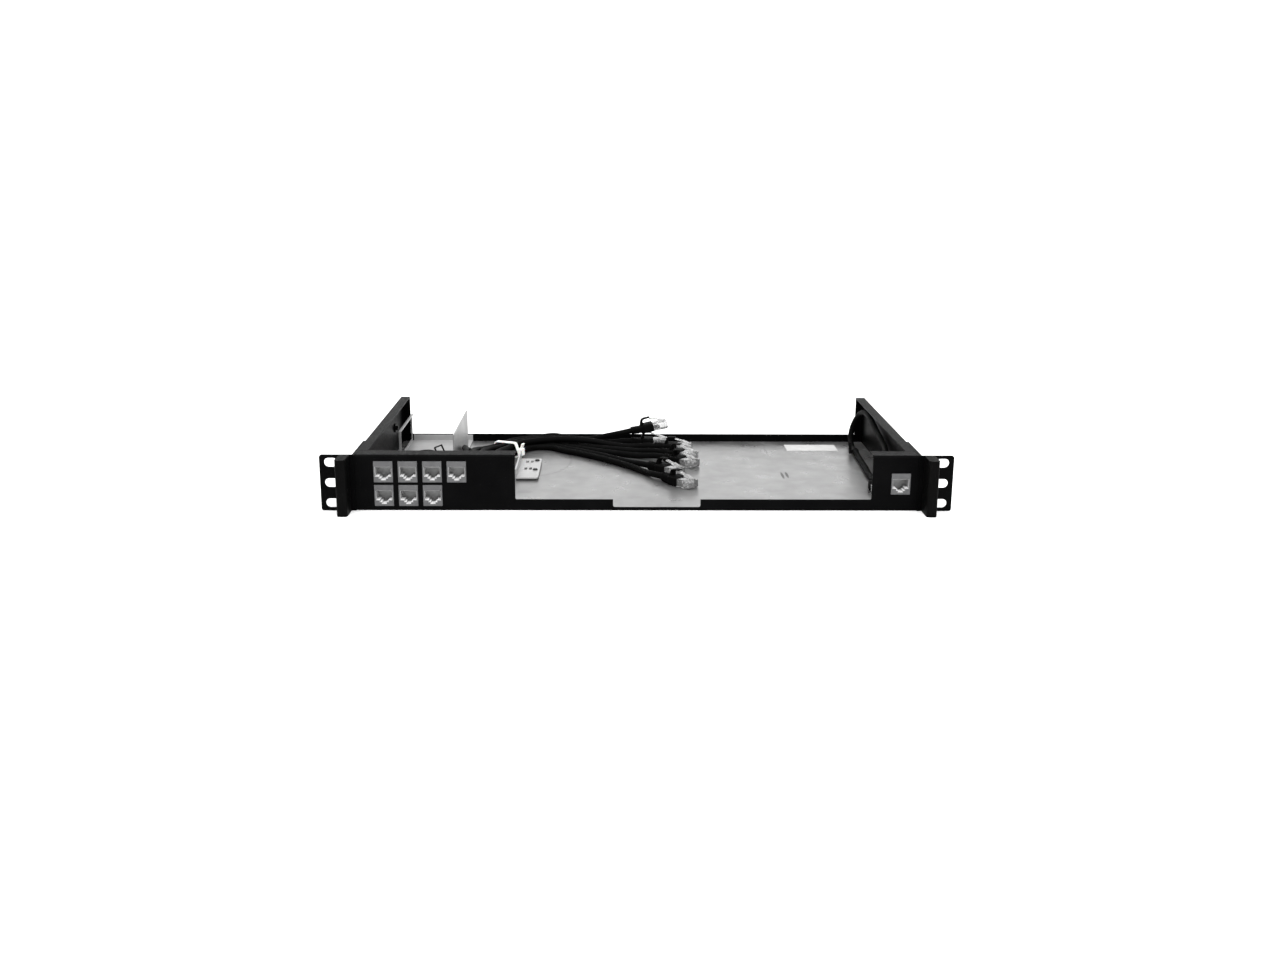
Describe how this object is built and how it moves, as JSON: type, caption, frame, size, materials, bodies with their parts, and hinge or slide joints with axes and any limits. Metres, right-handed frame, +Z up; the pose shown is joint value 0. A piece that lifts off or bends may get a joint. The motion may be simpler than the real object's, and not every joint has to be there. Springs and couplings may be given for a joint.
{
  "type": "firewall appliance rack-mount kit",
  "caption": "Rack-mount tray for a desktop firewall: sheet-metal frame with ears and grips, front network couplers, patch leads with latching plugs, power-supply cradle and an open bay.",
  "frame": {"origin": "centre of the footprint, on the surface that the tray stands on", "axes": "+X to the viewer's right along the rack width, +Y to the rear, +Z up"},
  "size_m": [0.4826, 0.248, 0.0437],
  "materials": {
    "black_paint": "fine-textured black powder coat",
    "grip_black": "moulded, lightly grained",
    "galvanised": "bare zinc-coated sheet, faint spangle",
    "screw_black": "black oxide",
    "screw_zinc": "zinc plate",
    "clip_black": "moulded nylon",
    "label_white": "coated paper label, blank",
    "coupler_shell": "satin grey",
    "coupler_insert": "moulded",
    "contact_gold": "gold flash",
    "plug_clear": "clear polycarbonate",
    "boot_black": "soft moulded",
    "lead_black": "satin jacket",
    "tie_white": "natural nylon"
  },
  "bodies": {
    "root": {"floor_plate": "galvanised", "front_panel": "black_paint", "side_wall_left": "black_paint", "side_wall_right": "black_paint", "rear_lip": "black_paint", "ear_left": "black_paint", "ear_right": "black_paint", "grip_left": "grip_black", "grip_right": "grip_black", "ear_screws": "screw_black", "grip_screws": "screw_black", "frame_rivets": "screw_zinc", "psu_cradle": "galvanised", "divider_plate": "galvanised", "cradle_screws": "screw_zinc", "cable_clip": "clip_black", "wall_clip": "clip_black", "device_bracket": "galvanised", "bracket_screws": "screw_black", "floor_label": "label_white", "coupler_1": "coupler_shell", "coupler_2": "coupler_shell", "coupler_3": "coupler_shell", "coupler_4": "coupler_shell", "coupler_5": "coupler_shell", "coupler_6": "coupler_shell", "coupler_7": "coupler_shell", "coupler_console": "coupler_shell", "coupler_inserts": "coupler_insert", "coupler_contacts": "contact_gold", "rear_plugs": "plug_clear", "rear_boots": "boot_black", "lead_1": "lead_black", "lead_2": "lead_black", "lead_3": "lead_black", "lead_4": "lead_black", "lead_5": "lead_black", "lead_6": "lead_black", "lead_7": "lead_black", "lead_console": "lead_black", "plug_1": "plug_clear", "plug_2": "plug_clear", "plug_3": "plug_clear", "plug_4": "plug_clear", "plug_5": "plug_clear", "plug_6": "plug_clear", "plug_7": "plug_clear", "plug_console": "plug_clear", "free_boots": "boot_black", "plug_contacts": "contact_gold", "bundle_tie": "tie_white", "lead_tie": "clip_black"},
    "latch_1": {"latch_1": "plug_clear"},
    "latch_2": {"latch_2": "plug_clear"},
    "latch_3": {"latch_3": "plug_clear"},
    "latch_4": {"latch_4": "plug_clear"},
    "latch_5": {"latch_5": "plug_clear"},
    "latch_6": {"latch_6": "plug_clear"},
    "latch_7": {"latch_7": "plug_clear"},
    "latch_console": {"latch_console": "plug_clear"}
  },
  "joints": [
    {"name": "latch_1_press", "type": "hinge", "parent": "root", "child": "latch_1", "pos_m": [0.0283, 0.104, 0.0098], "axis": [0, -1, 0], "range_deg": [0, 9], "stiffness_Nm_per_rad": 0.05},
    {"name": "latch_2_press", "type": "hinge", "parent": "root", "child": "latch_2", "pos_m": [0.02665, 0.10365, 0.02676], "axis": [0.1045, -0.9945, 0], "range_deg": [0, 9], "stiffness_Nm_per_rad": 0.05},
    {"name": "latch_3_press", "type": "hinge", "parent": "root", "child": "latch_3", "pos_m": [0.04933, 0.08038, 0.0098], "axis": [-0.1392, -0.9903, 0], "range_deg": [0, 9], "stiffness_Nm_per_rad": 0.05},
    {"name": "latch_4_press", "type": "hinge", "parent": "root", "child": "latch_4", "pos_m": [0.05155, 0.04914, 0.0098], "axis": [-0.4226, -0.9063, 0], "range_deg": [0, 9], "stiffness_Nm_per_rad": 0.05},
    {"name": "latch_5_press", "type": "hinge", "parent": "root", "child": "latch_5", "pos_m": [0.03587, -0.00634, 0.0098], "axis": [-0.6157, -0.788, 0], "range_deg": [0, 9], "stiffness_Nm_per_rad": 0.05},
    {"name": "latch_6_press", "type": "hinge", "parent": "root", "child": "latch_6", "pos_m": [0.04993, 0.02174, 0.0098], "axis": [-0.6428, -0.766, 0], "range_deg": [0, 9], "stiffness_Nm_per_rad": 0.05},
    {"name": "latch_7_press", "type": "hinge", "parent": "root", "child": "latch_7", "pos_m": [0.04409, -0.04709, 0.0098], "axis": [-0.7071, -0.7071, 0], "range_deg": [0, 9], "stiffness_Nm_per_rad": 0.05},
    {"name": "latch_console_press", "type": "hinge", "parent": "root", "child": "latch_console", "pos_m": [0.19314, -0.0693, 0.0098], "axis": [-0.9986, 0.0523, 0], "range_deg": [0, 9], "stiffness_Nm_per_rad": 0.05}
  ]
}
